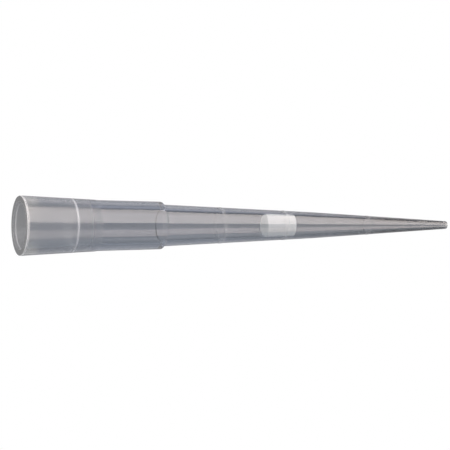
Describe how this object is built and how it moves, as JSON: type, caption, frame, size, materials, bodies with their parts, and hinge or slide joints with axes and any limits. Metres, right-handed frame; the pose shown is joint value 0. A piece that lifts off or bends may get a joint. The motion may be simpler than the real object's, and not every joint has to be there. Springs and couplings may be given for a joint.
{
  "type": "filter pipette tip",
  "caption": "Clear tapered pipette tip with a stepped mouth collar, raised fill rings and a white porous filter plug in its bore.",
  "frame": {"origin": "centre of the mouth's rim face, which the tip stands on", "axes": "+Z along the tip's axis, from the mouth to the nozzle; the tip is round, so +X and +Y are any two directions across it"},
  "size_m": [0.0072, 0.0072, 0.0564],
  "materials": {
    "clear_plastic": "clear, smooth, slightly smoky moulded polypropylene",
    "porous_plastic": "white sintered porous polyethylene"
  },
  "bodies": {
    "root": {"tip_body": "clear_plastic", "filter_plug": "porous_plastic"}
  },
  "joints": []
}
